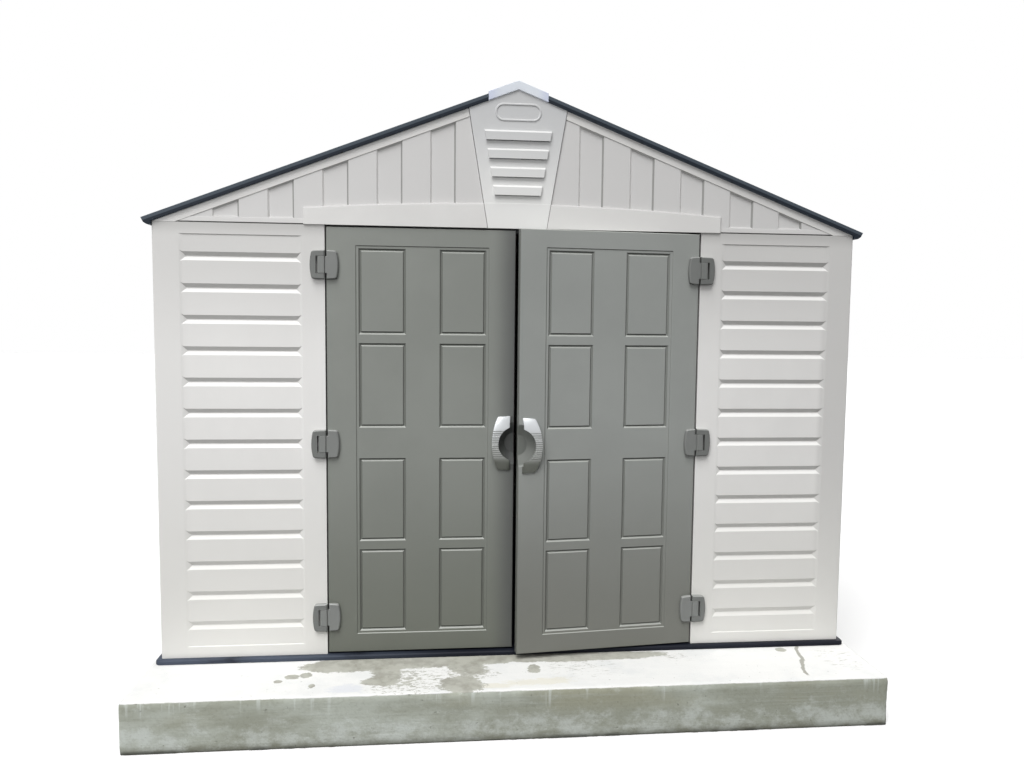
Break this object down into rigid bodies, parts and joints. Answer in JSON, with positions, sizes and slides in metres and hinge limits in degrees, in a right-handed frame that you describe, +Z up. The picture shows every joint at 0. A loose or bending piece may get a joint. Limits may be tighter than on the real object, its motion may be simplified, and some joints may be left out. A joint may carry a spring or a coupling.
{
  "type": "resin shed",
  "caption": "Gable-roofed resin garden shed on a raised concrete plinth, with lap siding, a louvred keystone gable and panelled double doors on surface hinges.",
  "frame": {"origin": "on the ground under the middle of the concrete plinth, bottom centre of the bounding box", "axes": "+Z up, -Y out through the double doors (the front faces -Y), +X to the right seen from in front"},
  "size_m": [3.084, 2.794, 2.6753],
  "materials": {
    "concrete": "weathered cast concrete, worn edges",
    "floor_resin": "moulded resin, fine grain",
    "wall_resin": "moulded resin, fine grain",
    "door_resin": "moulded resin, fine grain",
    "hinge_resin": "moulded resin",
    "pull_resin": "metal-look moulded resin, satin",
    "roof_resin": "moulded resin, fine grain",
    "ridge_resin": "translucent moulded resin",
    "steel": "powder coated"
  },
  "bodies": {
    "shed": {"concrete_plinth": "concrete", "floor_left": "floor_resin", "floor_right": "floor_resin", "front_wall_left": "wall_resin", "front_wall_right": "wall_resin", "left_wall_front": "wall_resin", "left_wall_middle": "wall_resin", "left_wall_back": "wall_resin", "right_wall_front": "wall_resin", "right_wall_middle": "wall_resin", "right_wall_back": "wall_resin", "back_wall_left": "wall_resin", "back_wall_middle_left": "wall_resin", "back_wall_middle_right": "wall_resin", "back_wall_right": "wall_resin", "front_gable_left": "wall_resin", "front_gable_right": "wall_resin", "front_keystone": "wall_resin", "back_gable_left": "wall_resin", "back_gable_right": "wall_resin", "back_keystone": "wall_resin", "wall_hinges_left": "hinge_resin", "wall_hinges_right": "hinge_resin", "roof_left_front": "roof_resin", "roof_left_middle": "roof_resin", "roof_left_back": "roof_resin", "roof_right_front": "roof_resin", "roof_right_middle": "roof_resin", "roof_right_back": "roof_resin", "ridge_skylight_front": "ridge_resin", "ridge_skylight_middle": "ridge_resin", "ridge_skylight_back": "ridge_resin", "roof_truss_front": "steel", "roof_truss_back": "steel", "door_header": "steel"},
    "left_door": {"left_door_leaf": "door_resin", "left_door_pull": "pull_resin", "left_door_hinges": "hinge_resin"},
    "right_door": {"right_door_leaf": "door_resin", "right_door_pull": "pull_resin", "right_door_hinges": "hinge_resin"}
  },
  "joints": [
    {"name": "left_door_swing", "type": "hinge", "parent": "shed", "child": "left_door", "pos_m": [-0.8275, -1.057, 1.1435], "axis": [0, 0, -1], "range_deg": [0, 110]},
    {"name": "right_door_swing", "type": "hinge", "parent": "shed", "child": "right_door", "pos_m": [0.8275, -1.057, 1.1435], "axis": [0, 0, 1], "range_deg": [-5.4, 104.6]}
  ]
}
